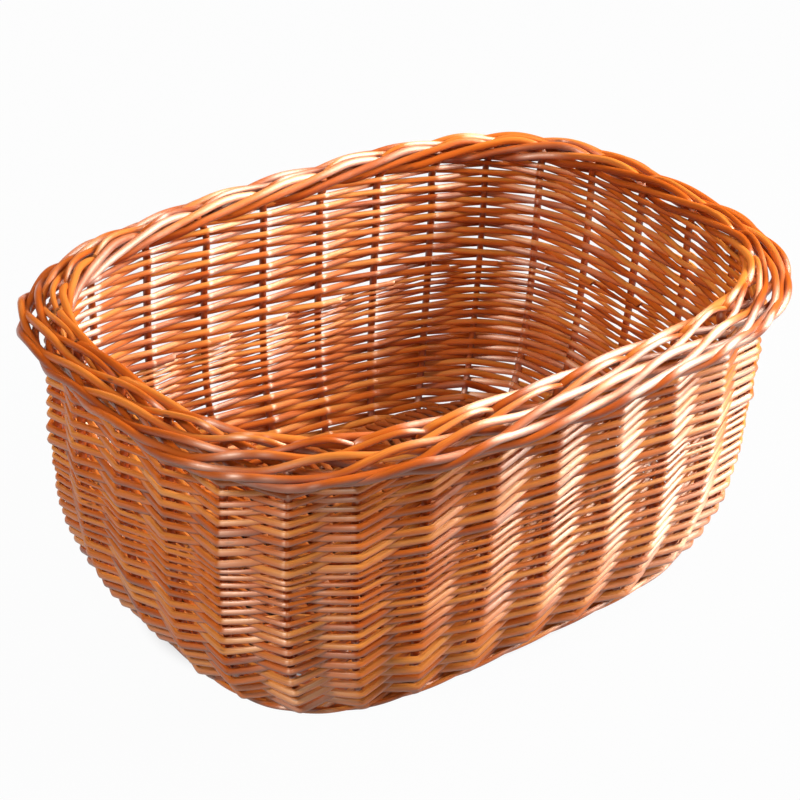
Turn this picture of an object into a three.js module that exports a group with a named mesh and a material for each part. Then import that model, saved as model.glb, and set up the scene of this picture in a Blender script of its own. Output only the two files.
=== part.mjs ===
// Wicker bicycle basket: a rounded rectangular basket woven of varnished willow.
// Stakes stand on a base hoop, weavers wind in and out between them, and above the weaving each
// stake bends over and runs along the rim, so that the stakes together make the rolled border.
// Millimetres, +Z up, origin at the middle of the underside, +X along the length.

import * as THREE from 'three';

// Overall size
const rimLength = 450;
const rimWidth = 325;
const basketHeight = 194;
const rimSquareness = 3.05; // power of the superellipse that the border follows
const clearance = 0.4; // between pieces that touch on the real basket

// Wall
const borderOverhang = 18; // from the outside of the weaving to the edge of the border
const wallSquareness = 3.85;
const endDrawIn = 35; // how far each end wall curves in at its foot
const sideDrawIn = 23.5; // the same for each long side
const footCurve = 5; // a larger power keeps that curve nearer the foot
const wallStations = 6; // levels at which a stake changes direction

// Stakes
const stakeCount = 29; // an odd count, so that a weaver changes sides on every lap
const stakeDiameter = 4.4;
const stakeTipDiameter = 3.8;
const cornerCrowding = 0.09; // share of the stakes that gathers where the wall turns
const firstStake = 0.45; // place of the first stake after the +X axis, in spacings
const topBend = 5; // length of the slant where a stake turns over

// Rolled border, a flat roll that leans with its outer edge low
const rollCore = 4; // space inside the roll, between its upper and lower strands
const rollFlat = 17.2; // flat part of the roll's width
const rollTilt = 26; // degrees
const rollEnd = 0.55; // share of the inner bend that a strand follows before its end
const strandRun = 7; // stakes that each turned-over end passes

// Weavers of the wall
const lowerWeavers = 11; // rods in the band below the belt
const upperWeavers = 11; // rods in the band above it
const weaverDiameter = 4.4;
const rowCount = 25; // rows from the foot of the wall to the border
const jointPlace = 0.14; // where one weaver follows another, in spacings past a stake
const jointStagger = [0, 6, 2, 8, 4]; // stakes between the joints of successive weavers

// Base
const hoopWidth = 13;
const hoopHeight = 7;
const hoopFlat = 8; // width that is shaved flat above and below
const hoopEdge = 0.5; // hoop showing outside the feet of the stakes
const baseStickCount = 7; // an odd count, with one stick in the middle
const baseStickDiameter = 6;
const baseStickMargin = 17; // from the hoop to the middle of the outermost base stick
const baseWeaverDiameter = 4;
const basePassGap = 5.2; // between one pass of the base weaver and the next
const baseTurnGap = 0.9; // between a pass's turn and the stick that it goes round
const baseTurnLevel = 0.8; // share of a pass's height over a stick that it keeps in its turn

// Facets
const stakeSides = 5;
const stickSides = 6;

const stakeRadius = stakeDiameter / 2;

// Square rods have the same section area as round ones of their diameter.
function squareHalf(diameter) {
  return diameter * Math.sqrt(Math.PI) / 4;
}

const weaverHalf = squareHalf(weaverDiameter);
const weaverOffset = stakeRadius + clearance + weaverHalf;
const weaveDepth = weaverOffset + weaverHalf; // from the middle of the stakes to either face of the wall
const footHeight = hoopHeight + clearance;

// Plan curves

function ringPoint(ring, angle) {
  const along = Math.abs(Math.cos(angle) / ring.halfLength) ** ring.power;
  const across = Math.abs(Math.sin(angle) / ring.halfWidth) ** ring.power;
  const radius = (along + across) ** (-1 / ring.power);
  return new THREE.Vector3(radius * Math.cos(angle), radius * Math.sin(angle), 0);
}

function ringNormal(ring, angle) {
  const point = ringPoint(ring, angle);
  const slope = (value, half) => Math.sign(value) * Math.abs(value / half) ** (ring.power - 1) / half;
  const x = slope(point.x, ring.halfLength);
  const y = slope(point.y, ring.halfWidth);
  return new THREE.Vector3(x, y, 0).normalize();
}

function ringReach(ring, value, half, otherHalf) {
  const share = Math.min(Math.abs(value) / half, 1);
  return otherHalf * (1 - share ** ring.power) ** (1 / ring.power);
}

function offsetRing(ring, distance) {
  return {
    halfLength: ring.halfLength + distance,
    halfWidth: ring.halfWidth + distance,
    power: ring.power,
  };
}

// Border

const tilt = THREE.MathUtils.degToRad(rollTilt);
const rollRadius = (rollCore + stakeDiameter) / 2; // from the middle of a bend to the middle of its strands
const rollReach = rollFlat / 2 * Math.cos(tilt) + rollRadius + stakeRadius;
const rollRise = rollFlat / 2 * Math.sin(tilt) + rollRadius + stakeRadius;
const rollBend = Math.PI * rollRadius;
const strandStep = (rollBend * (1 + rollEnd) + rollFlat) / (strandRun - 1);
const borderHeight = basketHeight - rollRise;
const borderRing = {
  halfLength: rimLength / 2 - rollReach,
  halfWidth: rimWidth / 2 - rollReach,
  power: rimSquareness,
};

// Place in the roll's cross-section, by the distance travelled from its lower outer corner:
// round the outer bend, over the top and round the inner bend.
function rollPoint(distance) {
  let along = rollFlat / 2;
  let lift = rollRadius;
  if (distance < rollBend) {
    const turn = distance / rollRadius - Math.PI / 2;
    along += rollRadius * Math.cos(turn);
    lift = rollRadius * Math.sin(turn);
  } else if (distance < rollBend + rollFlat) {
    along -= distance - rollBend;
  } else {
    const turn = (distance - rollBend - rollFlat) / rollRadius + Math.PI / 2;
    along = rollRadius * Math.cos(turn) - rollFlat / 2;
    lift = rollRadius * Math.sin(turn);
  }
  return {
    out: along * Math.cos(tilt) + lift * Math.sin(tilt),
    up: lift * Math.cos(tilt) - along * Math.sin(tilt),
  };
}

const rollStart = rollPoint(0);

// Height of the roll's underside strands, out from the middle of the border.
function rollUnderside(out) {
  return rollStart.up + (rollStart.out - Math.min(out, rollStart.out)) * Math.tan(tilt);
}

// Wall

const wallTop = {
  halfLength: rimLength / 2 - borderOverhang - weaveDepth,
  halfWidth: rimWidth / 2 - borderOverhang - weaveDepth,
};

function curvedRing(height) {
  const drawn = (1 - height / basketHeight) ** footCurve;
  return {
    halfLength: wallTop.halfLength - endDrawIn * drawn,
    halfWidth: wallTop.halfWidth - sideDrawIn * drawn,
    power: wallSquareness,
  };
}

// The levels lie closer together at the foot, where the wall curves most.
const stationHeights = Array.from({ length: wallStations }, (_, index) => {
  const share = index / (wallStations - 1);
  return footHeight + (borderHeight - footHeight) * share ** 2;
});

// Middle of the stakes at a height: straight from each level to the next.
function wallRing(height) {
  const found = stationHeights.findIndex((level) => level > height);
  const upper = found < 0 ? wallStations - 1 : Math.max(found, 1);
  const below = curvedRing(stationHeights[upper - 1]);
  const above = curvedRing(stationHeights[upper]);
  const span = stationHeights[upper] - stationHeights[upper - 1];
  const share = (height - stationHeights[upper - 1]) / span;
  return {
    halfLength: THREE.MathUtils.lerp(below.halfLength, above.halfLength, share),
    halfWidth: THREE.MathUtils.lerp(below.halfWidth, above.halfWidth, share),
    power: wallSquareness,
  };
}

function wallPoint(angle, height) {
  const point = ringPoint(wallRing(height), angle);
  point.z = height;
  return point;
}

// Plan angles against the share of the stakes passed, counted by length and by turning.
const planSamples = 1440;
const planAngles = Array.from({ length: planSamples + 1 }, (_, i) => i / planSamples * 2 * Math.PI);
const planShares = stakeShares(wallRing(borderHeight));

function stakeShares(ring) {
  const points = planAngles.map((angle) => ringPoint(ring, angle));
  const normals = planAngles.map((angle) => ringNormal(ring, angle));
  const lengths = [0];
  const turns = [0];
  for (let i = 1; i <= planSamples; i += 1) {
    lengths.push(lengths[i - 1] + points[i].distanceTo(points[i - 1]));
    turns.push(turns[i - 1] + normals[i].angleTo(normals[i - 1]));
  }
  const share = (list, i) => list[i] / list[planSamples];
  return planAngles.map((_, i) => THREE.MathUtils.lerp(share(lengths, i), share(turns, i), cornerCrowding));
}

// Plan angle of a stake by its number, which may be a fraction between two stakes.
function stakeAngle(number) {
  const laps = (number + firstStake) / stakeCount;
  const share = laps - Math.floor(laps);
  const upper = Math.max(planShares.findIndex((value) => value > share), 1);
  const span = planShares[upper] - planShares[upper - 1];
  return THREE.MathUtils.lerp(
    planAngles[upper - 1],
    planAngles[upper],
    (share - planShares[upper - 1]) / span,
  );
}

// How far the wall's middle lies out from the border's middle at a stake.
function wallOut(angle) {
  const gap = ringPoint(wallRing(borderHeight), angle).sub(ringPoint(borderRing, angle));
  return gap.dot(ringNormal(borderRing, angle));
}

// Highest level for a weaver, just under the strands that leave the wall.
function weaveTop(angle) {
  const outermost = wallOut(angle) + weaveDepth + stakeRadius;
  return borderHeight + rollUnderside(outermost) - stakeRadius - clearance - weaverHalf;
}

// Rods

function polygon(sides, radius) {
  return Array.from({ length: sides }, (_, i) => {
    const angle = (i + 0.5) / sides * 2 * Math.PI;
    return [radius * Math.cos(angle), radius * Math.sin(angle)];
  });
}

function square(half) {
  return [[-half, -half], [half, -half], [half, half], [-half, half]];
}

// A rod swept along points, mitred at each of them. A facing at each point tells which way the
// first axis of the section looks, and a scale makes the rod thinner there.
function sweep({ points, facings, section, scales = null, closed = false }) {
  const count = points.length;
  const sides = section.length;
  const positions = [];
  for (let i = 0; i < count; i += 1) {
    const before = points[closed ? (i + count - 1) % count : Math.max(i - 1, 0)];
    const after = points[closed ? (i + 1) % count : Math.min(i + 1, count - 1)];
    const arriving = points[i].clone().sub(before).normalize();
    const leaving = after.clone().sub(points[i]).normalize();
    const forward = arriving.clone().add(leaving).normalize();
    const first = facings[i].clone().addScaledVector(forward, -facings[i].dot(forward)).normalize();
    const second = forward.clone().cross(first);
    const bend = leaving.clone().sub(arriving).normalize();
    const ends = !closed && (i === 0 || i === count - 1);
    const stretch = ends ? 0 : 1 / forward.dot(leaving) - 1;
    for (const [a, b] of section) {
      const size = scales ? scales[i] : 1;
      const corner = first.clone().multiplyScalar(a * size).addScaledVector(second, b * size);
      corner.addScaledVector(bend, corner.dot(bend) * stretch).add(points[i]);
      positions.push(corner.x, corner.y, corner.z);
    }
  }
  const faces = [];
  for (let i = 0; i < (closed ? count : count - 1); i += 1) {
    for (let j = 0; j < sides; j += 1) {
      const here = i * sides;
      const next = (i + 1) % count * sides;
      const k = (j + 1) % sides;
      faces.push(here + j, here + k, next + k, here + j, next + k, next + j);
    }
  }
  const last = (count - 1) * sides;
  for (let j = 1; !closed && j < sides - 1; j += 1) {
    faces.push(0, j + 1, j, last, last + j, last + j + 1);
  }
  const geometry = new THREE.BufferGeometry();
  geometry.setAttribute('position', new THREE.Float32BufferAttribute(positions, 3));
  geometry.setIndex(faces);
  geometry.computeVertexNormals();
  return geometry;
}

const willow = (color) => new THREE.MeshStandardMaterial({ color, roughness: 0.42, metalness: 0 });
const stakeFinish = willow(0xd17a30);
const lowerFinish = willow(0xc96c28);
const upperFinish = willow(0xdb8a3d);
const baseFinish = willow(0xa85a24);

const basket = new THREE.Group();

function addPiece(name, geometry, material) {
  const mesh = new THREE.Mesh(geometry, material);
  mesh.name = name;
  basket.add(mesh);
}

const numbered = (name, index) => `${name}_${String(index + 1).padStart(2, '0')}`;

// Stakes: up the wall, over at the top, and along the border as one of its strands

function borderPoint(number, place) {
  const angle = stakeAngle(number);
  const point = ringPoint(borderRing, angle);
  point.addScaledVector(ringNormal(borderRing, angle), place.out);
  point.z = borderHeight + place.up;
  return point;
}

function stake(number) {
  const angle = stakeAngle(number);
  const facing = ringNormal(borderRing, angle);
  const topHeight = borderHeight + rollUnderside(wallOut(angle));
  const top = wallPoint(angle, topHeight);
  const joining = borderPoint(number + 1, rollStart);
  const points = stationHeights
    .filter((height) => height < topHeight - 2 * topBend)
    .map((height) => wallPoint(angle, height));
  points.push(wallPoint(angle, topHeight - topBend));
  points.push(top.clone().add(joining.clone().sub(top).setLength(topBend)));
  const facings = points.map(() => facing);
  const halfSteps = 2 * (strandRun - 1);
  for (let half = 0; half <= halfSteps; half += 1) {
    const place = number + 1 + half / 2;
    points.push(borderPoint(place, rollPoint(half / 2 * strandStep)));
    facings.push(ringNormal(borderRing, stakeAngle(place)));
  }
  const thinnest = stakeTipDiameter / stakeDiameter;
  const scales = points.map((_, i) => THREE.MathUtils.lerp(1, thinnest, i / (points.length - 1)));
  return sweep({ points, facings, scales, section: polygon(stakeSides, stakeRadius) });
}

for (let i = 0; i < stakeCount; i += 1) {
  addPiece(numbered('stake', i), stake(i), stakeFinish);
}

// Weavers: one spiral round the stakes, outside one and inside the next, cut into rods

const weaveFoot = footHeight + weaverHalf;
const weaverCount = lowerWeavers + upperWeavers;
const weaveSteps = rowCount * stakeCount;
const slopeReach = 2; // half of the height over which the wall's slope is taken

function weaverFacing(angle, height) {
  const rise = wallPoint(angle, height + slopeReach).sub(wallPoint(angle, height - slopeReach)).normalize();
  const normal = ringNormal(wallRing(height), angle);
  return normal.addScaledVector(rise, -normal.dot(rise)).normalize();
}

function weaverSide(step) {
  const extra = stakeCount % 2 ? 0 : Math.floor(step / stakeCount); // even counts pass two stakes together
  return (step + extra) % 2 ? 1 : -1;
}

function weaverPoint(step, offset) {
  const angle = stakeAngle(step);
  const height = THREE.MathUtils.lerp(weaveFoot, weaveTop(angle), step / weaveSteps);
  const facing = weaverFacing(angle, height);
  const point = wallPoint(angle, height).addScaledVector(facing, weaverSide(step) * offset);
  return { point, facing };
}

// A sharper bend round a stake stands further out from it, so that both legs clear the stake.
function weaverPlace(step) {
  const [before, here, after] = [-1, 0, 1].map((shift) => weaverPoint(step + shift, weaverOffset).point);
  const arriving = here.clone().sub(before).normalize();
  const leaving = after.clone().sub(here).normalize();
  const halfBend = arriving.angleTo(leaving) / 2;
  return weaverPoint(step, weaverOffset / Math.cos(halfBend) ** 2);
}

function weaverBetween(step, share) {
  const start = weaverPlace(step);
  const end = weaverPlace(step + 1);
  return {
    point: start.point.lerp(end.point, share),
    facing: start.facing.lerp(end.facing, share).normalize(),
  };
}

// Joints lie just past a stake that the weaver passes on the inside.
function jointStep(index) {
  if (index === 0 || index === weaverCount) {
    return index === 0 ? 0 : weaveSteps - 2;
  }
  const even = 2 * Math.round(index * weaveSteps / weaverCount / 2);
  return even + jointStagger[index % jointStagger.length];
}

function weaver(index) {
  const first = jointStep(index);
  const last = jointStep(index + 1);
  const places = [weaverBetween(first, jointPlace)];
  for (let step = first + 1; step <= last; step += 1) {
    places.push(weaverPlace(step));
  }
  const following = weaverBetween(last, jointPlace);
  const gap = following.point.clone().sub(places.at(-1).point).setLength(2 * clearance);
  places.push({ point: following.point.sub(gap), facing: following.facing });
  return sweep({
    points: places.map((place) => place.point),
    facings: places.map((place) => place.facing),
    section: square(weaverHalf),
  });
}

for (let i = 0; i < weaverCount; i += 1) {
  const lower = i < lowerWeavers;
  const name = lower ? numbered('lower_weaver', i) : numbered('upper_weaver', i - lowerWeavers);
  addPiece(name, weaver(i), lower ? lowerFinish : upperFinish);
}

// Base hoop: a flattened rod that the stakes stand on

const hoopRing = offsetRing(wallRing(footHeight), stakeRadius + hoopEdge - hoopWidth / 2);
const hoopSection = [
  [-hoopFlat / 2, 0],
  [hoopFlat / 2, 0],
  [hoopWidth / 2, hoopHeight / 2],
  [hoopFlat / 2, hoopHeight],
  [-hoopFlat / 2, hoopHeight],
  [-hoopWidth / 2, hoopHeight / 2],
];
const hoopAngles = Array.from({ length: 2 * stakeCount }, (_, i) => stakeAngle(-i / 2));
addPiece('base_hoop', sweep({
  points: hoopAngles.map((angle) => ringPoint(hoopRing, angle)),
  facings: hoopAngles.map((angle) => ringNormal(hoopRing, angle)),
  section: hoopSection,
  closed: true,
}), baseFinish);

// Base sticks: along the length, with their ends on the hoop

const stickRadius = baseStickDiameter / 2;
const baseLevel = footHeight + stickRadius;
const hoopInner = offsetRing(hoopRing, -hoopWidth / 2);
const stickLimit = offsetRing(wallRing(footHeight), -weaveDepth - clearance);
const outerStick = hoopInner.halfWidth - baseStickMargin;
const stickPlaces = Array.from({ length: baseStickCount }, (_, i) => {
  const y = outerStick * (2 * i / (baseStickCount - 1) - 1);
  const flank = Math.abs(y) + stickRadius;
  return { y, end: ringReach(stickLimit, flank, stickLimit.halfWidth, stickLimit.halfLength) };
});
const upward = new THREE.Vector3(0, 0, 1);
stickPlaces.forEach(({ y, end }, i) => {
  const points = [new THREE.Vector3(-end, y, baseLevel), new THREE.Vector3(end, y, baseLevel)];
  const section = polygon(stickSides, stickRadius);
  addPiece(numbered('base_stick', i), sweep({ points, facings: [upward, upward], section }), baseFinish);
});

// Base weaver: to and fro across the sticks, over one and under the next

const baseWeaverHalf = squareHalf(baseWeaverDiameter);
const baseOffset = stickRadius + clearance + baseWeaverHalf;
const turnReach = baseOffset + baseTurnGap;
const passPitch = 2 * baseWeaverHalf + basePassGap;
const passRoom = hoopInner.halfLength - baseWeaverHalf - clearance;
const passCount = 2 * Math.floor(passRoom / passPitch) + 1;
const passPlace = (pass) => (pass - (passCount - 1) / 2) * passPitch;

// The outermost stick, counted from the middle, that a pass can turn round.
function outermostStick(pass) {
  const middle = (baseStickCount - 1) / 2;
  const x = Math.abs(passPlace(pass)) + 2 * baseWeaverHalf;
  const room = ringReach(hoopInner, x, hoopInner.halfLength, hoopInner.halfWidth);
  let outermost = 0;
  for (let i = Math.ceil(middle); i < baseStickCount; i += 1) {
    const fits = stickPlaces[i].y + turnReach + 2 * baseWeaverHalf < room;
    outermost = fits && x < stickPlaces[i].end ? i - middle : outermost;
  }
  return outermost;
}

function baseWeaver() {
  const middle = (baseStickCount - 1) / 2;
  const points = [];
  for (let pass = 0; pass < passCount; pass += 1) {
    const direction = pass % 2 ? -1 : 1;
    const own = outermostStick(pass);
    const from = pass > 0 ? Math.min(own, outermostStick(pass - 1)) : own;
    const to = pass < passCount - 1 ? Math.min(own, outermostStick(pass + 1)) : own;
    const x = passPlace(pass);
    const place = (shift, y, z) => points.push(new THREE.Vector3(x + shift, y, baseLevel + z));
    const level = (stick) => ((pass + stick + middle) % 2 ? -baseOffset : baseOffset);
    const reach = (stick) => direction * (stickPlaces[middle + stick].y + turnReach);
    place(pass > 0 ? -passPitch / 4 : 0, -reach(from), level(-from * direction) * baseTurnLevel);
    for (let stick = -from; stick <= to; stick += 1) {
      const crossed = stick * direction;
      place(0, stickPlaces[middle + crossed].y, level(crossed));
    }
    place(pass < passCount - 1 ? passPitch / 4 : 0, reach(to), level(to * direction) * baseTurnLevel);
  }
  const lengthwise = new THREE.Vector3(1, 0, 0);
  return sweep({ points, facings: points.map(() => lengthwise), section: square(baseWeaverHalf) });
}

addPiece('base_weaver', baseWeaver(), baseFinish);

export default basket;
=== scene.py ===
# Wicker bicycle basket of varnished willow. Metres, +Z up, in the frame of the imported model.

import math

import bpy
import numpy as np
from mathutils import Matrix, Vector


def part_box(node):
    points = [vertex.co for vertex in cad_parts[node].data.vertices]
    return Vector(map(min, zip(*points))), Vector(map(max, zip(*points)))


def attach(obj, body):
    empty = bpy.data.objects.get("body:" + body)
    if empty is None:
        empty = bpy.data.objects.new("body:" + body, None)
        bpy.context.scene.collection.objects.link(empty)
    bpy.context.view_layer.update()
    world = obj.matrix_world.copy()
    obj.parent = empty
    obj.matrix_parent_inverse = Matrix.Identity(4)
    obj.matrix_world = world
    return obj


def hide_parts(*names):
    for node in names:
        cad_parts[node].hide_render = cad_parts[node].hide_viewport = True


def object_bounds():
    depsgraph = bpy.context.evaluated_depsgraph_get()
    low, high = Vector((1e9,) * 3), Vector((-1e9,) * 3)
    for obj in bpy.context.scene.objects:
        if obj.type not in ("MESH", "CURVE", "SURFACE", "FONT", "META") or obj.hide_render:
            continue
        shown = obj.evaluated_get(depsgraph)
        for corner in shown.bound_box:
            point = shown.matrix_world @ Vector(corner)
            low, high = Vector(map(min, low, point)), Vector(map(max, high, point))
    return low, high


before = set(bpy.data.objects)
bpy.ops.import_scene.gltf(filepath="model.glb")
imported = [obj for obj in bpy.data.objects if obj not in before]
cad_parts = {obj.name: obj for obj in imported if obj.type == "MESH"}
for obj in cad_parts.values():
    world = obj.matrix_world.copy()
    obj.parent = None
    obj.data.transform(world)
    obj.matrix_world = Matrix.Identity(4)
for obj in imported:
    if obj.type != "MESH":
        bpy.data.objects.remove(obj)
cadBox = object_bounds()
bpy.ops.object.select_all(action="DESELECT")

lowCorner, highCorner = cadBox
rimHalfLength = (highCorner[0] - lowCorner[0]) / 2
rimHalfWidth = (highCorner[1] - lowCorner[1]) / 2
basketHeight = highCorner[2]
stakeNames = sorted(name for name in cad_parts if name.startswith("stake_"))
stakeCount = len(stakeNames)
print("frame:", len(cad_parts), "nodes,", stakeCount, "stakes")


# Plan curves: superellipses by polar angle, for arrays of angles

def ringPoint(angle, halfLength, halfWidth, power):
    along = np.abs(np.cos(angle) / halfLength) ** power
    across = np.abs(np.sin(angle) / halfWidth) ** power
    radius = (along + across) ** (-1 / power)
    return np.stack([radius * np.cos(angle), radius * np.sin(angle)], -1)


def ringNormal(angle, halfLength, halfWidth, power):
    point = ringPoint(angle, halfLength, halfWidth, power)
    half = np.stack(np.broadcast_arrays(halfLength, halfWidth), -1)
    slope = np.sign(point) * np.abs(point / half) ** (power - 1) / half
    return slope / np.linalg.norm(slope, axis=-1, keepdims=True)


footSlice = 0.001           # height of the lowest bit of a stake, which gives its place


def footAngle(name):
    corners = np.array([vertex.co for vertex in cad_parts[name].data.vertices])
    foot = corners[corners[:, 2] < corners[:, 2].min() + footSlice].mean(0)
    return math.atan2(foot[1], foot[0]) % (2 * math.pi)


# Stakes go round counter-clockwise from the +X end, and a number between two of them lies between both.
footAngles = np.sort([footAngle(name) for name in stakeNames])


def stakeAngle(number):
    laps = np.floor(np.asarray(number) / stakeCount)
    ring = np.concatenate([footAngles, footAngles[:1] + 2 * math.pi])
    place = np.interp(number - laps * stakeCount, np.arange(stakeCount + 1), ring)
    return place + laps * 2 * math.pi


# Wall

wall = {
    "overhang": 0.018,      # from the weaving out to the border's edge
    "depth": 0.0061,        # half the thickness of the weaving
    "squareness": 3.85,
    "endDrawIn": 0.035,     # at the foot
    "sideDrawIn": 0.0235,
    "footCurve": 5,
    "lean": 0.08,           # how far stakes stray sideways, in spacings
    "beltHeight": 0.106,    # where the second band of rods starts
    "beltTilt": 0.056,      # the belt was woven lower at the back
    "slopeStep": 0.002,     # above and below a place, to find how the wall slopes there
}
chance = np.random.default_rng(29)
stakeLean = chance.uniform(-1, 1, stakeCount) * wall["lean"]
stakeBow = chance.uniform(-1, 1, stakeCount) * wall["lean"]


def wallHalves(height):
    drawn = np.clip(1 - height / basketHeight, 0, 1) ** wall["footCurve"]
    inset = wall["overhang"] + wall["depth"]
    return (rimHalfLength - inset - wall["endDrawIn"] * drawn,
            rimHalfWidth - inset - wall["sideDrawIn"] * drawn)


def wallPlace(number, height, out):
    angle = stakeAngle(number)
    reach = wall["slopeStep"]
    flat = ringPoint(angle, *wallHalves(height), wall["squareness"])
    normal = ringNormal(angle, *wallHalves(height), wall["squareness"])
    above = ringPoint(angle, *wallHalves(height + reach), wall["squareness"])
    below = ringPoint(angle, *wallHalves(height - reach), wall["squareness"])
    slope = ((above - below) * normal).sum(-1) / (2 * reach)
    offset = out / np.sqrt(1 + slope ** 2)
    flat = flat + normal * np.asarray(offset)[..., None]
    return np.concatenate([flat, np.asarray(height - slope * offset)[..., None]], -1)


# Stakes lean and bow a little, so their numbers shift with height.
def stakeNumber(index, height):
    share = height / basketHeight
    lean = stakeLean[index % stakeCount] * (share - 0.5)
    bow = stakeBow[index % stakeCount] * share * (1 - share)
    return index + lean + bow


def beltLevel(number):
    level = np.full(np.shape(number), wall["beltHeight"])
    across = wallPlace(number, level, np.zeros(np.shape(number)))[..., 1]
    return wall["beltHeight"] - wall["beltTilt"] * across


# Rods: tubes along a path, each with its place in the straight rod kept for the grain

def pathLengths(points):
    return np.concatenate([[0], np.cumsum(np.linalg.norm(np.diff(points, axis=0), axis=1))])


def smoothPath(points, step):
    points = np.asarray(points, float)
    distance = pathLengths(points)
    tangent = np.gradient(points, distance, axis=0)
    at = np.linspace(0, distance[-1], max(int(round(distance[-1] / step)), 2) + 1)
    index = np.clip(np.searchsorted(distance, at, side="right") - 1, 0, len(points) - 2)
    span = distance[index + 1] - distance[index]
    t = ((at - distance[index]) / span)[:, None]
    span = span[:, None]
    return ((2 * t ** 3 - 3 * t ** 2 + 1) * points[index] + (t ** 3 - 2 * t ** 2 + t) * span * tangent[index]
            + (3 * t ** 2 - 2 * t ** 3) * points[index + 1] + (t ** 3 - t ** 2) * span * tangent[index + 1])


rodMaking = {
    "bevelUnit": 0.001,     # the curve's bevel depth, which each point's radius multiplies
    "cutSlope": 0.7,        # slant of a cut end
    "sharpAngle": 45,       # degrees, for the edge of a cut end
    "tones": (2.2, 2.9),    # beta draw for the tone of a rod in the wall, from deep to pale
    "bleach": 0.34,         # painted light and shade: how much paler the lit upper side is painted, and how much darker the shaded underside
    "grainGap": 1.37,       # from rod to rod in the grain, so that no two look alike
}


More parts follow.
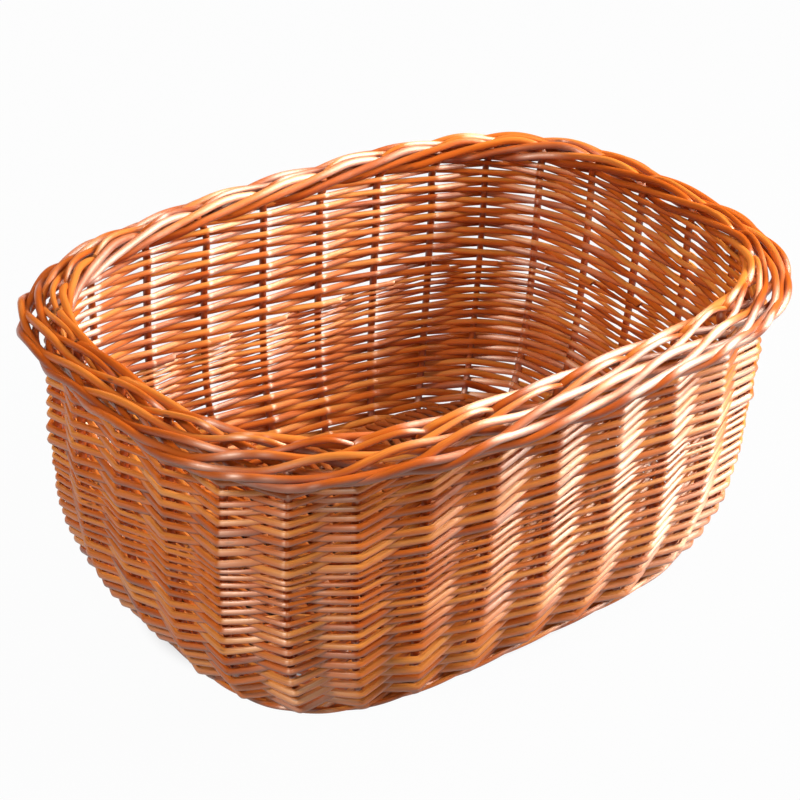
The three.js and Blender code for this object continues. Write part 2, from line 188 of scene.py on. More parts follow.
def makeRods(name, rods, sides, closed=False):
    bpy.ops.object.select_all(action="DESELECT")
    bpy.ops.curve.primitive_nurbs_path_add()
    piece = bpy.context.object
    piece.name = name
    curve = piece.data
    curve.splines.clear()
    curve.dimensions = "3D"
    curve.twist_mode = "MINIMUM"
    curve.bevel_depth = rodMaking["bevelUnit"]
    curve.bevel_resolution = sides // 2 - 2     # a round bevel has twice this and four more sides
    curve.use_fill_caps = False
    for rod in rods:
        spline = curve.splines.new("POLY")
        spline.points.add(len(rod["points"]) - 1)
        spline.use_cyclic_u = closed
        spline.points.foreach_set("co", np.c_[rod["points"], np.ones(len(rod["points"]))].ravel())
        spline.points.foreach_set("radius", np.asarray(rod["radii"]) / rodMaking["bevelUnit"])
    piece.location = (0, 0, 0)
    bpy.ops.object.convert(target="MESH")
    mesh = piece.data
    mesh.name = name

    # the tubes come out ring after ring, rod after rod
    corners = np.zeros(len(mesh.vertices) * 3, np.float32)
    mesh.vertices.foreach_get("co", corners)
    corners = corners.reshape(-1, 3)
    turn = np.arange(sides) / sides * 2 * math.pi
    places = []
    tones = []
    runs = []
    first = 0
    for number, rod in enumerate(rods):
        points = np.asarray(rod["points"])
        count = len(points)
        radii = np.asarray(rod["radii"])[:, None]
        rings = corners[first:first + count * sides].reshape(count, sides, 3)
        upward = (rings - points[:, None])[:, :, 2] / radii
        if not closed:
            cuts = ((0, 1, rod.get("startSlope", 0)), (count - 1, count - 2, rod.get("endSlope", 0)))
            for ring, beyond, slope in cuts:
                along = points[ring] - points[beyond]
                along /= np.linalg.norm(along)
                lift = (rings[ring] - points[ring]) @ np.array([0, 0, 1.0])
                rings[ring] += np.outer(slope * lift, along)
        place = np.zeros((count, sides, 3))
        place[:, :, 0] = radii * np.cos(turn)
        place[:, :, 1] = radii * np.sin(turn)
        place[:, :, 2] = pathLengths(points)[:, None] + rodMaking["grainGap"] * number + rod["shift"]
        places.append(place.reshape(-1, 3))
        # painted light and shade: the upper side of every rod is paler and the underside darker, as light
        # from above would make them
        tone = np.broadcast_to(rod["tone"], count)[:, None] + rodMaking["bleach"] * upward
        tones.append(tone.ravel())
        runs.append(np.repeat(np.gradient(points, axis=0), sides, axis=0))
        first += count * sides
    mesh.vertices.foreach_set("co", corners.ravel())
    tubeFaces = len(mesh.polygons)
    places = np.concatenate(places)
    tones = np.concatenate(tones)
    runs = np.concatenate(runs)
    runs /= np.linalg.norm(runs, axis=1, keepdims=True)

    # the open ends are filled, and each gets a point in its middle
    if not closed:
        bpy.ops.object.mode_set(mode="EDIT")
        bpy.ops.mesh.select_all(action="SELECT")
        bpy.ops.mesh.fill_holes(sides=sides)
        bpy.ops.object.mode_set(mode="OBJECT")
        cap = np.arange(len(mesh.polygons)) >= tubeFaces
        bpy.ops.object.mode_set(mode="EDIT")
        bpy.ops.mesh.select_mode(type="FACE")
        bpy.ops.mesh.select_all(action="DESELECT")
        bpy.ops.object.mode_set(mode="OBJECT")
        mesh.polygons.foreach_set("select", cap)
        bpy.ops.object.mode_set(mode="EDIT")
        bpy.ops.mesh.poke()
        bpy.ops.mesh.select_all(action="SELECT")
        bpy.ops.mesh.normals_make_consistent(inside=False)
        bpy.ops.object.mode_set(mode="OBJECT")

    # a middle point takes the mean of its ring
    edges = np.zeros(len(mesh.edges) * 2, np.int32)
    mesh.edges.foreach_get("vertices", edges)
    edges = edges.reshape(-1, 2)
    middles = np.zeros((len(mesh.vertices) - len(places), 3))
    middleTones = np.zeros(len(middles))
    middleRuns = np.tile([0.0, 0.0, 1.0], (len(middles), 1))
    for near, far in ((0, 1), (1, 0)):
        joined = edges[edges[:, near] >= len(places)]
        np.add.at(middles, joined[:, near] - len(places), places[joined[:, far]] / sides)
        np.add.at(middleTones, joined[:, near] - len(places), tones[joined[:, far]] / sides)

    # what the finish reads: place in the straight rod, tone with its painted light and shade, direction of
    # the fibres, and cut ends
    placeLayer = mesh.attributes.new("rodPlace", "FLOAT_VECTOR", "POINT")
    placeLayer.data.foreach_set("vector", np.concatenate([places, middles]).astype(np.float32).ravel())
    # the tone holds the painted light and shade of each rod's upper side and underside
    toneLayer = mesh.attributes.new("rodTone", "FLOAT", "POINT")
    toneLayer.data.foreach_set("value", np.concatenate([tones, middleTones]).astype(np.float32))
    runLayer = mesh.attributes.new("rodRun", "FLOAT_VECTOR", "POINT")
    runLayer.data.foreach_set("vector", np.concatenate([runs, middleRuns]).astype(np.float32).ravel())
    cutLayer = mesh.attributes.new("rodCut", "FLOAT", "FACE")
    cutLayer.data.foreach_set("value", (np.arange(len(mesh.polygons)) >= tubeFaces).astype(np.float32))
    bpy.ops.object.shade_smooth_by_angle(angle=math.radians(rodMaking["sharpAngle"]))
    return piece


def dress(piece, material, nodes):
    piece.data.materials.clear()
    piece.data.materials.append(material)
    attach(piece, "root")
    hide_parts(*nodes)


# Willow: colour, streaks, scars and end grain shared by the three finishes

def addNode(tree, kind, place, **settings):
    node = tree.nodes.new(kind)
    node.location = place
    for key, value in settings.items():
        setattr(node, key, value)
    return node


def mathNode(tree, operation, place, first, second=None, clamp=False):
    node = addNode(tree, "ShaderNodeMath", place, operation=operation, use_clamp=clamp)
    for socket, value in zip(node.inputs, (first, second)):
        if value is None:
            continue
        if isinstance(value, (int, float)):
            socket.default_value = value
        else:
            tree.links.new(value, socket)
    return node.outputs[0]


def mixColour(tree, place, factor, first, second, blend="MIX"):
    node = addNode(tree, "ShaderNodeMix", place, data_type="RGBA", blend_type=blend)
    for socket, value in ((node.inputs[0], factor), (node.inputs[6], first), (node.inputs[7], second)):
        if isinstance(value, (int, float)):
            socket.default_value = value
        elif isinstance(value, tuple):
            socket.default_value = (*value, 1)
        else:
            tree.links.new(value, socket)
    return node.outputs[2]


def stretched(tree, place, vector, scale):
    node = addNode(tree, "ShaderNodeVectorMath", place, operation="MULTIPLY")
    tree.links.new(vector, node.inputs[0])
    node.inputs[1].default_value = scale
    return node.outputs[0]


def noise(tree, place, vector, detail, roughness=0.55):
    node = addNode(tree, "ShaderNodeTexNoise", place)
    node.inputs["Scale"].default_value = 1
    node.inputs["Detail"].default_value = detail
    node.inputs["Roughness"].default_value = roughness
    tree.links.new(vector, node.inputs["Vector"])
    return node.outputs[0]


def remap(tree, place, value, low, high, toLow=0.0, toHigh=1.0):
    node = addNode(tree, "ShaderNodeMapRange", place, clamp=True, interpolation_type="SMOOTHSTEP")
    tree.links.new(value, node.inputs["Value"])
    for key, number in (("From Min", low), ("From Max", high), ("To Min", toLow), ("To Max", toHigh)):
        node.inputs[key].default_value = number
    return node.outputs[0]


# scales are for a metre, across the rod and along it
grain = {
    "patchScale": (90, 90, 11),
    "fibreScale": (1500, 1500, 26),
    "fibreRoughness": 0.65,
    "gritScale": (900, 900, 420),
    "scarScale": (230, 230, 60),
    "scarEdge": (0.09, 0.2),
    "scarChoice": (0.78, 0.82),     # only cells past this have a scar
    "scarColor": (0.14, 0.030, 0.006),
    "drift": 1.1,                   # of the tone from patch to patch
    "streakEdge": (0.42, 0.72),
    "streakColor": (0.34, 0.06, 0.008),
    "pithEdge": (0.0003, 0.0007),   # radius
    "pithColor": (0.12, 0.03, 0.008),
    "woodColor": (0.44, 0.17, 0.045),
    "roughness": 0.36,
    "gritRoughness": 0.14,
    "cutRoughness": 0.3,
    "fibreRelief": 0.6,
    "scarRelief": 0.5,
    "gritRelief": 0.4,
}


def willowGroup():
    tree = bpy.data.node_groups.new("willowRod", "ShaderNodeTree")
    for name, kind in (("Place", "NodeSocketVector"), ("Tone", "NodeSocketFloat"), ("Cut", "NodeSocketFloat"),
                       ("Deep", "NodeSocketColor"), ("Honey", "NodeSocketColor"), ("Pale", "NodeSocketColor"),
                       ("Streaks", "NodeSocketFloat"), ("Scars", "NodeSocketFloat")):
        tree.interface.new_socket(name, in_out="INPUT", socket_type=kind)
    for name, kind in (("Color", "NodeSocketColor"), ("Roughness", "NodeSocketFloat"),
                       ("Height", "NodeSocketFloat")):
        tree.interface.new_socket(name, in_out="OUTPUT", socket_type=kind)
    given = addNode(tree, "NodeGroupInput", (-1400, 0))
    result = addNode(tree, "NodeGroupOutput", (1200, 0))
    place = given.outputs["Place"]

    # slow change of colour along the rod, then fine fibres, then small bud scars
    patches = noise(tree, (-1000, 300), stretched(tree, (-1200, 300), place, grain["patchScale"]), 2)
    fibres = noise(tree, (-1000, 60), stretched(tree, (-1200, 60), place, grain["fibreScale"]), 4,
                   grain["fibreRoughness"])
    grit = noise(tree, (-1000, -180), stretched(tree, (-1200, -180), place, grain["gritScale"]), 3)
    cells = addNode(tree, "ShaderNodeTexVoronoi", (-1000, -420), feature="F1")
    cells.inputs["Scale"].default_value = 1
    cells.inputs["Randomness"].default_value = 1
    tree.links.new(stretched(tree, (-1200, -420), place, grain["scarScale"]), cells.inputs["Vector"])
    spot = remap(tree, (-800, -420), cells.outputs["Distance"], *grain["scarEdge"], 1, 0)
    parted = addNode(tree, "ShaderNodeSeparateColor", (-800, -560))
    tree.links.new(cells.outputs["Color"], parted.inputs[0])
    chosen = remap(tree, (-620, -560), parted.outputs[0], *grain["scarChoice"])
    scar = mathNode(tree, "MULTIPLY", (-620, -420), spot, chosen)
    scar = mathNode(tree, "MULTIPLY", (-440, -460), scar, given.outputs["Scars"])

    # deep to honey to pale by the rod's tone, which also carries the painted light and shade of its upper
    # side and underside
    drift = mathNode(tree, "SUBTRACT", (-900, 300), patches, 0.5)
    drift = mathNode(tree, "MULTIPLY", (-800, 300), drift, grain["drift"])
    tone = mathNode(tree, "ADD", (-620, 300), given.outputs["Tone"], drift, clamp=True)
    toHoney = remap(tree, (-420, 380), tone, 0.0, 0.5)
    toPale = remap(tree, (-240, 200), tone, 0.5, 1.0)
    body = mixColour(tree, (-240, 380), toHoney, given.outputs["Deep"], given.outputs["Honey"])
    body = mixColour(tree, (-40, 300), toPale, body, given.outputs["Pale"])
    streak = remap(tree, (-420, 40), fibres, *grain["streakEdge"])
    streak = mathNode(tree, "MULTIPLY", (-240, 40), streak, given.outputs["Streaks"])
    streaky = mixColour(tree, (160, 200), streak, body, grain["streakColor"])
    scarred = mixColour(tree, (360, 160), scar, streaky, grain["scarColor"])

    # end grain: pale wood with a darker pith
    split = addNode(tree, "ShaderNodeSeparateXYZ", (-1000, -760))
    tree.links.new(place, split.inputs[0])
    squares = []
    for side in (0, 1):
        squares.append(mathNode(tree, "POWER", (-840, -700 - 120 * side), split.outputs[side], 2.0))
    radius = mathNode(tree, "ADD", (-720, -760), *squares)
    radius = mathNode(tree, "POWER", (-620, -760), radius, 0.5)
    pith = remap(tree, (-420, -760), radius, *grain["pithEdge"], 1, 0)
    endGrain = mixColour(tree, (-40, -700), pith, grain["woodColor"], grain["pithColor"])
    color = mixColour(tree, (700, 100), given.outputs["Cut"], scarred, endGrain)

    gritty = mathNode(tree, "MULTIPLY", (320, -200), grit, grain["gritRoughness"])
    sawn = mathNode(tree, "MULTIPLY", (500, -320), given.outputs["Cut"], grain["cutRoughness"])
    rough = mathNode(tree, "ADD", (500, -200), grain["roughness"], gritty)
    rough = mathNode(tree, "ADD", (700, -200), rough, sawn, clamp=True)

    ridges = mathNode(tree, "MULTIPLY", (320, -460), fibres, grain["fibreRelief"])
    pits = mathNode(tree, "MULTIPLY", (320, -580), scar, grain["scarRelief"])
    specks = mathNode(tree, "MULTIPLY", (500, -580), grit, grain["gritRelief"])
    relief = mathNode(tree, "SUBTRACT", (500, -460), ridges, pits)
    relief = mathNode(tree, "ADD", (700, -460), relief, specks)
    for socket, value in (("Color", color), ("Roughness", rough), ("Height", relief)):
        tree.links.new(value, result.inputs[socket])
    return tree


willowRod = willowGroup()


def willowFinish(name, look):
    material = bpy.data.materials.new(name)
    material.use_nodes = True
    tree = material.node_tree
    tree.nodes.clear()
    output = addNode(tree, "ShaderNodeOutputMaterial", (600, 0))
    shader = addNode(tree, "ShaderNodeBsdfPrincipled", (300, 0))
    rod = addNode(tree, "ShaderNodeGroup", (-200, 0), node_tree=willowRod)
    bump = addNode(tree, "ShaderNodeBump", (60, -260))
    readings = (("rodPlace", "Place", "Vector"), ("rodTone", "Tone", "Fac"), ("rodCut", "Cut", "Fac"))
    for row, (attribute, socket, side) in enumerate(readings):
        reader = addNode(tree, "ShaderNodeAttribute", (-500, 200 - 180 * row), attribute_name=attribute)
        tree.links.new(reader.outputs[side], rod.inputs[socket])
    for socket in ("Deep", "Honey", "Pale"):
        rod.inputs[socket].default_value = (*look[socket.lower()], 1)
    rod.inputs["Streaks"].default_value = look["streaks"]
    rod.inputs["Scars"].default_value = look["scars"]
    bump.inputs["Strength"].default_value = look["bump"]
    bump.inputs["Distance"].default_value = look["bumpDepth"]
    shader.inputs["IOR"].default_value = look["ior"]
    shader.inputs["Specular IOR Level"].default_value = look["shine"]
    shader.inputs["Specular Tint"].default_value = (*look["shineColor"], 1)
    # fibres along the rod spread a highlight across it
    fibreRun = addNode(tree, "ShaderNodeAttribute", (60, -460), attribute_name="rodRun")
    tree.links.new(fibreRun.outputs["Vector"], shader.inputs["Tangent"])
    shader.inputs["Anisotropic"].default_value = look["fibreSpread"]
    shader.inputs["Anisotropic Rotation"].default_value = look["fibreTurn"]
    shader.inputs["Coat Weight"].default_value = look["varnish"]
    shader.inputs["Coat Roughness"].default_value = look["varnishRoughness"]
    tree.links.new(rod.outputs["Color"], shader.inputs["Base Color"])
    tree.links.new(rod.outputs["Roughness"], shader.inputs["Roughness"])
    tree.links.new(rod.outputs["Height"], bump.inputs["Height"])
    tree.links.new(bump.outputs[0], shader.inputs["Normal"])
    tree.links.new(shader.outputs[0], output.inputs["Surface"])
    return material


stakeLook = {
    "deep": (0.24, 0.026, 0.002), "honey": (0.55, 0.105, 0.008), "pale": (0.74, 0.215, 0.030),
    "streaks": 0.35, "scars": 0.8, "bump": 0.35, "bumpDepth": 0.0004,
    "ior": 1.7, "shine": 1.0, "shineColor": (1, 0.85, 0.67),
    "fibreSpread": 0.95, "fibreTurn": 0.25,     # in turns
    "varnish": 0.2, "varnishRoughness": 0.22,
}
weaverLook = dict(stakeLook, deep=(0.27, 0.030, 0.002), honey=(0.63, 0.132, 0.010), pale=(0.80, 0.28, 0.046),
                  scars=0.6)
baseLook = dict(stakeLook, deep=(0.26, 0.045, 0.007), honey=(0.40, 0.09, 0.014), pale=(0.56, 0.16, 0.03))
stakeFinish = willowFinish("stakeWillow", stakeLook)
weaverFinish = willowFinish("weaverWillow", weaverLook)
baseFinish = willowFinish("baseWillow", baseLook)
print("finishes: stakes, weavers, base")


# Border: each stake turns over at the crest, dips inside the next stake, comes out below the roll and
# climbs its outer face until its end is caught under a later stake.

border = {
    "squareness": 3.05,
    "tilt": 26,             # degrees, outer edge low
    "flat": 0.0172,         # flat part of the roll's section
    "bend": 0.0042,         # radius of its round edges, at the middle of the strands
    "strand": 0.0047,       # diameter
    "tip": 0.0030,
    # stakes passed, then out and up from the middle of the roll
    "turnOver": [(-0.02, -0.0088, 0.0005), (0.06, -0.0086, 0.0038), (0.3, -0.0086, 0.0068),
                 (0.6, -0.0096, 0.0080), (1.0, -0.0118, 0.0066), (1.5, -0.0128, 0.0036),
                 (2.0, -0.0128, 0.0006), (2.45, -0.0112, -0.0030), (2.75, -0.0070, -0.0050),
                 (3.05, -0.0026, -0.0058), (3.5, 0.0028, -0.0071)],
    "climbStart": 4.0,      # stakes passed when the outer face begins
    "climbStep": 0.2,       # stakes from one point of the climb to the next
    "climb": 0.0052,        # along the section for each stake passed
    "runOut": 10.04,        # stakes passed at the cut end
    "plaitStart": 5,        # stakes passed where the plait swings through its middle
    "plaitAcross": 0.0017,
    "plaitOver": 0.0018,
    "stray": 0.0007,
    "strayWaves": (1.9, 2.7),   # across and over the plait, in radians for each stake passed
    "cornerLoop": 0.0035,   # strands stand out at the corners
    "loopAt": 4.6,          # stakes passed
    "loopSpread": 0.7,
    "tuck": 0.0042,         # how far the cut end dips under the stake that it meets
    "tuckRun": 0.5,         # over how many stakes
    "weaveReach": 0.3,      # how far the weaving reaches into the roll, in strands
    "step": 0.0026,
}
tilt = math.radians(border["tilt"])
rollReach = border["flat"] / 2 * math.cos(tilt) + border["bend"] + border["strand"] / 2
rollRise = border["flat"] / 2 * math.sin(tilt) + border["bend"] + border["strand"] / 2
borderHeight = basketHeight - rollRise
borderHalves = (rimHalfLength - rollReach, rimHalfWidth - rollReach)


def rollPlace(distance, over):
    flat, bend = border["flat"], border["bend"]
    lip = math.pi * bend
    if distance < lip:
        turn = distance / bend - math.pi / 2
        along, lift = flat / 2 + (bend + over) * math.cos(turn), (bend + over) * math.sin(turn)
    elif distance < lip + flat:
        along, lift = flat / 2 - (distance - lip), bend + over
    else:
        turn = (distance - lip - flat) / bend + math.pi / 2
        along, lift = (bend + over) * math.cos(turn) - flat / 2, (bend + over) * math.sin(turn)
    return (along * math.cos(tilt) + lift * math.sin(tilt), lift * math.cos(tilt) - along * math.sin(tilt))


def borderPlace(number, out, up):
    angle = stakeAngle(number)
    flat = ringPoint(angle, *borderHalves, border["squareness"])
    normal = ringNormal(angle, *borderHalves, border["squareness"])
    return np.array([*(flat + normal * out), borderHeight + up])


def cornerness(number):
    normal = ringNormal(stakeAngle(number), *borderHalves, border["squareness"])
    return (2 * abs(normal[0] * normal[1])) ** 2


def rollUnderside(out):
    startOut, startUp = rollPlace(0, 0)
    return startUp + (startOut - min(out, startOut)) * math.tan(tilt)


def wallOut(number):
    angle = stakeAngle(number)
    wallPoint = ringPoint(angle, *wallHalves(borderHeight), wall["squareness"])
    borderPoint = ringPoint(angle, *borderHalves, border["squareness"])
    return float((wallPoint - borderPoint) @ ringNormal(angle, *borderHalves, border["squareness"]))


def weaveTop(number):
    underside = rollUnderside(wallOut(number) + wall["depth"])
    return borderHeight + underside + border["strand"] * border["weaveReach"]


stakes = {
    "diameter": 0.0046,
    "thickSpread": 0.05,
    "taper": [0, 0.3, 0.85, 1],     # shares of the length: foot, start and end of the border's width, tip
    "wallTone": 0.08,       # painted shade: the part of a stake in the wall, in the gaps between the rods, is darker
    "toneRise": (-0.004, 0.006),    # where the border's tone takes over from the painted shade, from the middle of the roll
    "topGap": 0.006,        # from the top of the weaving down to the last level in the wall
    "levels": 9,
    "levelPower": 1.4,      # levels are closer at the foot
    "grainShift": 0.61,
    "sides": 10,
}
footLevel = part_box("base_hoop")[1][2]


def stakePath(index):
    top = weaveTop(index) - stakes["topGap"]
    shares = np.linspace(0, 1, stakes["levels"]) ** stakes["levelPower"]
    heights = footLevel + (top - footLevel) * shares
    numbers = np.array([stakeNumber(index, height) for height in heights])
    points = list(wallPlace(numbers, heights, np.zeros(len(heights))))
    # two of each draw are used, and the others keep the later draws as they are
    outStray, upStray = chance.uniform(-1, 1, 8)[:2] * border["stray"]
    acrossPhase, overPhase = chance.uniform(0, 2 * math.pi, 4)[:2]
    for passed, out, up in border["turnOver"]:
        points.append(borderPlace(index + passed, out + outStray * passed, up + upStray))
    acrossWave, overWave = border["strayWaves"]
    passed = border["climbStart"]
    while passed < border["runOut"]:
        swing = math.sin(math.pi * (passed - border["plaitStart"]))
        across = border["plaitAcross"] * swing
        across += 2 * border["stray"] * math.sin(acrossWave * passed + acrossPhase)
        over = border["plaitOver"] * swing
        over += border["stray"] * math.sin(overWave * passed + overPhase)
        over -= border["tuck"] * max(0, 1 - (border["runOut"] - passed) / border["tuckRun"]) ** 2
        out, up = rollPlace((passed - border["climbStart"]) * border["climb"] + across, over)
        bulge = math.exp(-((passed - border["loopAt"]) / border["loopSpread"]) ** 2)
        loop = border["cornerLoop"] * cornerness(index + passed) * bulge
        points.append(borderPlace(index + passed, out + loop, up))
        passed += border["climbStep"]
    return smoothPath(points, border["step"])


widths = [stakes["diameter"], border["strand"], border["strand"], border["tip"]]
toneHeights = [borderHeight + rise for rise in stakes["toneRise"]]
for index, name in enumerate(stakeNames):
    points = stakePath(index)
    thick = chance.normal(1, stakes["thickSpread"])
    radii = np.interp(np.linspace(0, 1, len(points)), stakes["taper"], widths) / 2 * thick
    # painted shade: below the roll the stake takes the dark tone of the gaps between the rods
    tone = np.interp(points[:, 2], toneHeights, [stakes["wallTone"], chance.beta(*rodMaking["tones"])])
    rod = {"points": points, "radii": radii, "tone": tone, "shift": stakes["grainShift"] * index,
           "endSlope": -rodMaking["cutSlope"]}
    piece = makeRods("stakeRod_%02d" % (index + 1), [rod], stakes["sides"])
    dress(piece, stakeFinish, [name])
print("stakes and border:", stakeCount)


# Weaving: one rod starts at every stake, goes outside one stake and inside the next, and climbs a layer
# at each

weave = {
    # places of the points between two stakes
    "stroke": [0, 0.018, 0.04, 0.07, 0.28, 0.5, 0.72, 0.93, 0.96, 0.982],
    "chord": 0.6,           # how far a rod cuts the corner between two stakes
    "clear": 0.0002,
    "outerDrop": 0.62,      # how far the outer crossings are lowered, in pitches
    "waver": 0.0003,        # of a crossing's height and depth
    "thickSpread": 0.06,
    # how far a rod begins before its first crossing: spacings, height and depth
    "buttTail": (0.30, 0.0004, 0.0012),
    # the same for rods that begin at the foot, and for the tips: spacings, height, and depths of the crossing
    "footTail": (0.85, -0.002, 1.7),
    "tipTail": (0.35, -0.0006, 0.8),
    "footGap": 0.0004,      # from the hoop to the lower band
    # reach, waves in a lap and height of a wave, for each wave of the rows
    "rowWaves": [(0.0010, 3, 0.14), (0.0008, 5, -0.09), (0.0005, 9, 0.05)],
    "levelEdge": 0.02,      # the waves fade out this near to the top and bottom of a band
    "grainShift": 0.83,
    "sides": 8,
}
lowerBand = {
    "butt": 1.34,           # thickness of a rod at its ends, in shares of the mean
    "tip": 0.66,
    "layers": 30,           # that the band is high
    "first": -1,            # layer where the rods begin
    "overrun": 1,           # layers that they go on above the band
    "bendShare": 0.06,      # share of a span that is bent round each stake, with a straight run between
    "fill": 1.13,           # thickness of the rods, in pitches
}
upperBand = dict(lowerBand, butt=1.14, tip=0.86, layers=22, first=0, overrun=0, fill=1.12)


def bentShare(t, bend):
    steep = 1 / (1 - bend)
    if t < bend:
        return steep * t * t / (2 * bend)
    if t > 1 - bend:
        return 1 - steep * (1 - t) ** 2 / (2 * bend)
    return steep * (t - bend / 2)


# Rows rise and fall a little together, as they do when beaten down by hand.
rowPhases = chance.uniform(0, 2 * math.pi, len(weave["rowWaves"]))


def rowDrift(number, height):
    drift = 0.0
    for (reach, laps, climb), phase in zip(weave["rowWaves"], rowPhases):
        drift += reach * math.sin(2 * math.pi * (laps * number / stakeCount + height / climb) + phase)
    return drift


def bandRods(band, bottom, top):
    layers = np.arange(band["first"], band["layers"] + band["overrun"])
    shares = np.interp(layers, [0, band["layers"] - 1], [band["butt"], band["tip"]]) / band["layers"]
    climbs = np.cumsum(shares) - shares / 2 - shares[layers < 0].sum()
    meanTall = np.mean([top(index) - bottom(index) for index in range(stakeCount)])
    rods = []
    for start in range(stakeCount):
        thick = chance.normal(1, weave["thickSpread"])
        crossings = []
        for layer, share, climb in zip(layers, shares, climbs):
            index = start + layer
            low, high = bottom(index), top(index)
            outer = layer % 2
            height = low + (climb - outer * weave["outerDrop"] * share) * (high - low)
            height += chance.normal(0, weave["waver"])
            ease = min(1, (height - low) / weave["levelEdge"], (high - height) / weave["levelEdge"])
            height += rowDrift(index, height) * ease
            radius = share * meanTall / 2 * thick * band["fill"]
            depth = (2 * outer - 1) * (stakes["diameter"] / 2 + radius + weave["clear"])
            depth += chance.normal(0, weave["waver"])
            crossings.append((stakeNumber(index, height), height, depth, radius))
        first, last = np.array(crossings[0]), np.array(crossings[-1])
        if band["first"] == 0:
            butt = [*weave["buttTail"], 0]
        else:
            before, rise, depths = weave["footTail"]
            butt = [before, rise, first[2] * depths, 0]
        beyond, rise, depths = weave["tipTail"]
        tip = [beyond, rise, -last[2] * depths, 0]
        spans = [(first - butt, first)]
        spans += [(np.array(a), np.array(b)) for a, b in zip(crossings, crossings[1:])]
        spans.append((last, last + tip))
        places = []
        for number, (a, b) in enumerate(spans):
            for t in weave["stroke"] + ([1] if number == len(spans) - 1 else []):
                share = bentShare(t, band["bendShare"])
                level = a + (b - a) * t
                arc = wallPlace(level[0], level[1], 0.0)
                ends = [wallPlace(end[0], level[1], 0.0) for end in (a, b)]
                line = ends[0] + (ends[1] - ends[0]) * t
                out = a[2] + (b[2] - a[2]) * share
                place = wallPlace(level[0], level[1], out) + (line - arc) * weave["chord"]
                places.append((*place, level[3]))
        places = np.array(places)
        places[:, 2] = np.maximum(places[:, 2], places[:, 3])   # none goes into the floor
        rods.append({"points": places[:, :3], "radii": places[:, 3], "tone": chance.beta(*rodMaking["tones"]),
                     "shift": weave["grainShift"] * start,
                     "startSlope": rodMaking["cutSlope"], "endSlope": -rodMaking["cutSlope"]})
    return rods


lowerNodes = sorted(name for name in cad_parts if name.startswith("lower_weaver"))
upperNodes = sorted(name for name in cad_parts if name.startswith("upper_weaver"))
footStart = footLevel + weave["footGap"]
lowerRods = bandRods(lowerBand, lambda index: footStart, lambda index: float(beltLevel(index)))
upperRods = bandRods(upperBand, lambda index: float(beltLevel(index)), weaveTop)

# two rods twisted round each other close the foot
footPair = {
    "thickness": 0.0028,
    "out": 0.0058,          # from the stakes
    "height": 0.0028,
    "twist": 0.0011,
    "turns": 15,            # in a lap
    "points": 420,
    "grainShift": 5.0,
}


def footRod(phase):
    numbers = np.linspace(0, stakeCount, footPair["points"])
    turn = numbers / stakeCount * 2 * math.pi * footPair["turns"] + phase
    heights = footPair["height"] + footPair["twist"] * np.sin(turn)
    points = wallPlace(numbers, heights, footPair["out"] + footPair["twist"] * np.cos(turn))
    points[:, 2] = heights
    return {"points": points, "radii": np.full(len(points), footPair["thickness"] / 2),
            "tone": chance.beta(*rodMaking["tones"]), "shift": footPair["grainShift"] * phase}


lowerRods += [footRod(0.0), footRod(math.pi)]
dress(makeRods("lowerWeave", lowerRods, weave["sides"]), weaverFinish, lowerNodes)
dress(makeRods("upperWeave", upperRods, weave["sides"]), weaverFinish, upperNodes)
print("weaving:", len(lowerRods), "lower and", len(upperRods), "upper rods")


# Base: a flattened hoop, thick sticks along the length, and rods across them

base = {
    "hoopWidth": 0.0100,
    "hoopInset": 0.0030,    # from the outer edge of the ring that it lies in
    "hoopPoints": 160,
    "hoopSides": 16,
    "hoopTone": 0.35,
    "hoopSquash": 0.95,     # in height, before its top and underside are flattened
    "tones": (2, 2),        # beta draw for the tone of a stick or rod
    "stickPoints": 40,
    "stickSides": 12,
    "stickSlope": 0.4,      # slant of the cut ends
    "stickWaver": (0.0008, 31, 2.1),    # reach, radians in a metre, and from stick to stick
    "stickSwell": (0.05, 23),   # share of the radius, and radians in a metre
    "stickShift": 0.7,      # along the grain
    "rodDiameter": 0.0040,
    "rodPitch": 0.0040,
    "rodSpread": 0.05,      # of the thickness
    "rodWaver": 0.0003,
    "rodStep": 0.006,       # between points
    "rodShift": 0.4,
    "endGap": 0.004,        # at least, from the last rod to the middle of the hoop
    "stickGap": 0.006,      # rods leave out sticks that are nearer than this to their ends
    "sides": 8,
}
hoopLow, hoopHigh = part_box("base_hoop")
hoopHeight = hoopHigh[2] - hoopLow[2]
hoopHalves = [corner - base["hoopInset"] - base["hoopWidth"] / 2 for corner in hoopHigh[:2]]
hoopAngles = np.arange(base["hoopPoints"]) / base["hoopPoints"] * 2 * math.pi
hoopFlat = ringPoint(hoopAngles, *hoopHalves, wall["squareness"])
hoopPoints = np.c_[hoopFlat, np.full(len(hoopFlat), (hoopLow[2] + hoopHigh[2]) / 2)]
hoopRod = {"points": hoopPoints, "radii": np.full(len(hoopPoints), base["hoopWidth"] / 2),
           "tone": base["hoopTone"], "shift": 0.0}
hoop = makeRods("baseHoop", [hoopRod], base["hoopSides"], closed=True)
for vertex in hoop.data.vertices:
    fromMiddle = (vertex.co.z - hoopHeight / 2) * base["hoopSquash"]
    vertex.co.z = hoopHeight / 2 + max(min(fromMiddle, hoopHeight / 2), -hoopHeight / 2)
dress(hoop, baseFinish, ["base_hoop"])

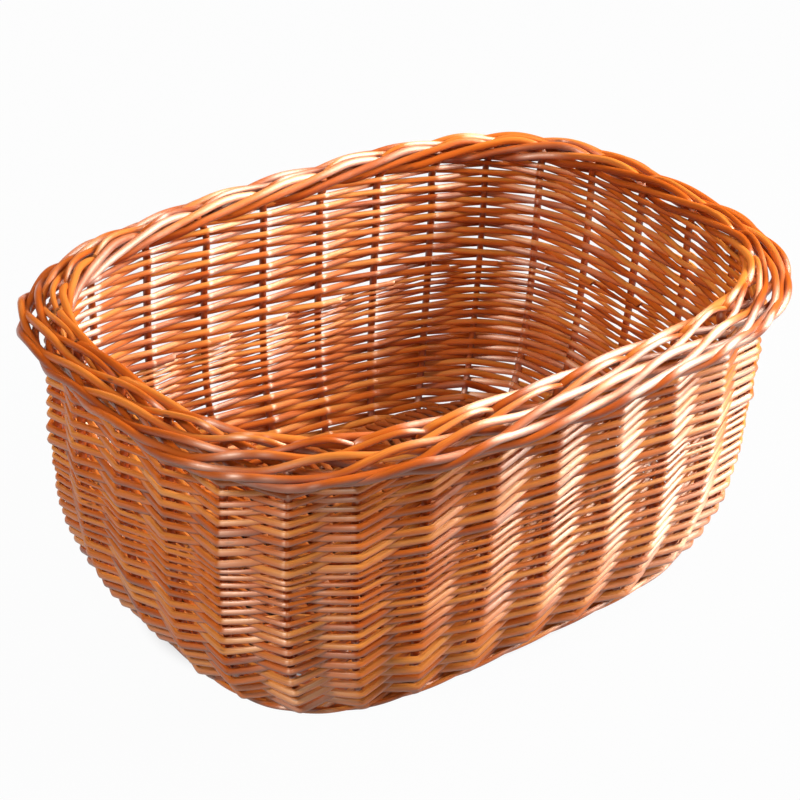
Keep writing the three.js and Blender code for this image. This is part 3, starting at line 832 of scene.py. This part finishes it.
stickNames = sorted(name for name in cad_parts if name.startswith("base_stick"))
stickBoxes = [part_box(name) for name in stickNames]
stickRadius = (stickBoxes[0][1][2] - stickBoxes[0][0][2]) / 2
stickLevel = (stickBoxes[0][1][2] + stickBoxes[0][0][2]) / 2
waverReach, waves, waveShift = base["stickWaver"]
swell, swells = base["stickSwell"]
for number, (name, (low, high)) in enumerate(zip(stickNames, stickBoxes)):
    along = np.linspace(low[0], high[0], base["stickPoints"])
    across = (low[1] + high[1]) / 2 + waverReach * np.sin(along * waves + number * waveShift)
    points = np.c_[along, across, np.full(len(along), stickLevel)]
    radii = stickRadius * (1 + swell * np.sin(along * swells + number))
    rod = {"points": points, "radii": radii, "tone": chance.beta(*base["tones"]),
           "shift": base["stickShift"] * number,
           "startSlope": base["stickSlope"], "endSlope": -base["stickSlope"]}
    piece = makeRods("baseStick_%02d" % (number + 1), [rod], base["stickSides"])
    dress(piece, baseFinish, [name])

baseRods = []
rodRadius = base["rodDiameter"] / 2
passes = int(2 * (hoopHalves[0] - base["endGap"]) / base["rodPitch"])
for number in range(passes):
    x = (number - (passes - 1) / 2) * base["rodPitch"]
    reach = hoopHalves[1] * (1 - abs(x / hoopHalves[0]) ** wall["squareness"]) ** (1 / wall["squareness"])
    stops = [(-reach, hoopHigh[2] + rodRadius)]
    for stick, (low, high) in enumerate(stickBoxes):
        y = (low[1] + high[1]) / 2
        if low[0] < x < high[0] and abs(y) < reach - base["stickGap"]:
            side = 1 if (stick + number) % 2 else -1
            stops.append((y, stickLevel + side * (stickRadius + rodRadius)))
    stops.append((reach, hoopHigh[2] + rodRadius))
    wavers = chance.normal(0, base["rodWaver"], len(stops))
    points = smoothPath([(x + waver, y, z) for waver, (y, z) in zip(wavers, stops)], base["rodStep"])
    radii = np.full(len(points), rodRadius * chance.normal(1, base["rodSpread"]))
    baseRods.append({"points": points, "radii": radii, "tone": chance.beta(*base["tones"]),
                     "shift": base["rodShift"] * number})
dress(makeRods("baseWeave", baseRods, base["sides"]), baseFinish, ["base_weaver"])
print("base:", len(baseRods), "rods across", len(stickNames), "sticks")


# Camera at the photograph's angle, in an 800 by 800 frame

cameraView = {
    "frame": 800,
    "focal": 2359.1,        # pixels
    "distance": 1.4,
    "azimuth": -40.44,
    "elevation": 30.54,
    "roll": 2.7,
    "target": (0, 0, 0.110),
    "targetPixel": (410.6, 393.1),
    "sensor": 36,
    "nearest": 0.01,
}


def placeCamera():
    view = cameraView
    azimuth, elevation, roll = (math.radians(view[key]) for key in ("azimuth", "elevation", "roll"))
    level = math.cos(elevation)
    back = Vector((math.sin(azimuth) * level, -math.cos(azimuth) * level, math.sin(elevation)))
    right = Vector((math.cos(azimuth), math.sin(azimuth), 0))
    up = back.cross(right)
    turned = right * math.cos(roll) + up * math.sin(roll)
    upright = up * math.cos(roll) - right * math.sin(roll)
    bpy.ops.object.camera_add()
    camera = bpy.context.object
    camera.name = "photoCamera"
    place = Matrix.Translation(Vector(view["target"]) + back * view["distance"])
    camera.matrix_world = place @ Matrix((turned, upright, back)).transposed().to_4x4()
    camera.data.sensor_width = view["sensor"]
    camera.data.lens = view["focal"] / view["frame"] * view["sensor"]
    camera.data.shift_x = (view["frame"] / 2 - view["targetPixel"][0]) / view["frame"]
    camera.data.shift_y = (view["targetPixel"][1] - view["frame"] / 2) / view["frame"]
    camera.data.clip_start = view["nearest"]
    bpy.context.scene.camera = camera


placeCamera()


# Floor, light and world

studio = {
    "floorSize": 8,
    "floorColor": (0.2, 0.2, 0.2),
    "floorGlow": 0.97,      # share of the floor that the camera sees as plain white
    "shadeEdge": (0.9, 1.1),    # where the glow starts, at the edge of the painted shadow, in half lengths and widths of the hoop
    "aimHeight": 0.09,      # of the place that all lamps point at
    # the varnish mirrors a lamp unless it says otherwise
    "lamps": {
        "keyLamp": {"from": (0.72, -0.50, 0.47), "distance": 1.3, "size": (0.40, 0.85), "power": 29},
        "fillLamp": {"from": (-0.74, -0.12, 0.66), "distance": 1.8, "size": (0.3, 0.3), "power": 17},
        "frontLamp": {"from": (-0.58, -0.63, 0.52), "distance": 1.5, "size": (0.1, 0.2), "power": 3},
        "sideLamp": {"from": (0.70, -0.12, 0.70), "distance": 1.4, "size": (0.3, 0.5), "power": 17},
        "backLamp": {"from": (0.15, 0.82, 0.55), "distance": 1.7, "size": (0.6, 0.4), "power": 16,
                     "mirrored": False},
    },
    "world": 0.025,         # light from all round, where the camera itself sees white
}


def rayMask(tree, *kinds):
    path = addNode(tree, "ShaderNodeLightPath", (-500, 0))
    mask = path.outputs[kinds[0]]
    for column, kind in enumerate(kinds[1:]):
        mask = mathNode(tree, "MAXIMUM", (-300 + 160 * column, 100), mask, path.outputs[kind])
    return mask


def floorFinish():
    material = bpy.data.materials.new("paleFloor")
    material.use_nodes = True
    tree = material.node_tree
    tree.nodes.clear()
    output = addNode(tree, "ShaderNodeOutputMaterial", (600, 0))
    mix = addNode(tree, "ShaderNodeMixShader", (400, 0))
    diffuse = addNode(tree, "ShaderNodeBsdfDiffuse", (100, 100))
    glow = addNode(tree, "ShaderNodeEmission", (100, -100))
    diffuse.inputs["Color"].default_value = (*studio["floorColor"], 1)
    seen = rayMask(tree, "Is Camera Ray", "Is Glossy Ray", "Is Transmission Ray")
    # no glow under the basket: a painted shadow there, where only the floor's dark diffuse shows, with the
    # basket's real shade on it
    place = addNode(tree, "ShaderNodeTexCoord", (-900, 400))
    flat = stretched(tree, (-700, 400), place.outputs["Object"], (1 / hoopHalves[0], 1 / hoopHalves[1], 0))
    away = addNode(tree, "ShaderNodeVectorMath", (-500, 400), operation="LENGTH")
    tree.links.new(flat, away.inputs[0])
    # painted shadow: the mask is zero within the basket's footprint, so the floor there stays dark
    clear = remap(tree, (-300, 400), away.outputs["Value"], *studio["shadeEdge"])
    share = mathNode(tree, "MULTIPLY", (-100, 400), clear, studio["floorGlow"])
    share = mathNode(tree, "MULTIPLY", (120, 240), seen, share)
    tree.links.new(share, mix.inputs[0])
    tree.links.new(diffuse.outputs[0], mix.inputs[1])
    tree.links.new(glow.outputs[0], mix.inputs[2])
    tree.links.new(mix.outputs[0], output.inputs["Surface"])
    return material


def addLamp(name, lamp):
    direction = Vector(lamp["from"]).normalized()
    place = Vector((0, 0, studio["aimHeight"])) + direction * lamp["distance"]
    bpy.ops.object.light_add(type="AREA", location=place)
    light = bpy.context.object
    light.name = name
    light.rotation_euler = direction.to_track_quat("Z", "Y").to_euler()
    light.data.shape = "RECTANGLE"
    light.data.size, light.data.size_y = lamp["size"]
    light.data.energy = lamp["power"]
    light.visible_glossy = lamp.get("mirrored", True)


def makeStudio():
    bpy.ops.mesh.primitive_plane_add(size=studio["floorSize"], location=(0, 0, 0))
    floor = bpy.context.object
    floor.name = "paleFloor"
    floor.data.materials.append(floorFinish())
    for name, lamp in studio["lamps"].items():
        addLamp(name, lamp)
    world = bpy.data.worlds.new("paleStudio")
    bpy.context.scene.world = world
    world.use_nodes = True
    tree = world.node_tree
    tree.nodes.clear()
    output = addNode(tree, "ShaderNodeOutputWorld", (600, 0))
    sky = addNode(tree, "ShaderNodeBackground", (300, 0))
    seen = rayMask(tree, "Is Camera Ray", "Is Transmission Ray")
    tree.links.new(remap(tree, (0, 100), seen, 0, 1, studio["world"], 1), sky.inputs["Strength"])
    tree.links.new(sky.outputs[0], output.inputs["Surface"])
    sky.inputs["Color"].default_value = (1, 1, 1, 1)


makeStudio()
bpy.context.scene.view_settings.view_transform = "Standard"
print("studio: floor,", len(studio["lamps"]), "lamps, camera")
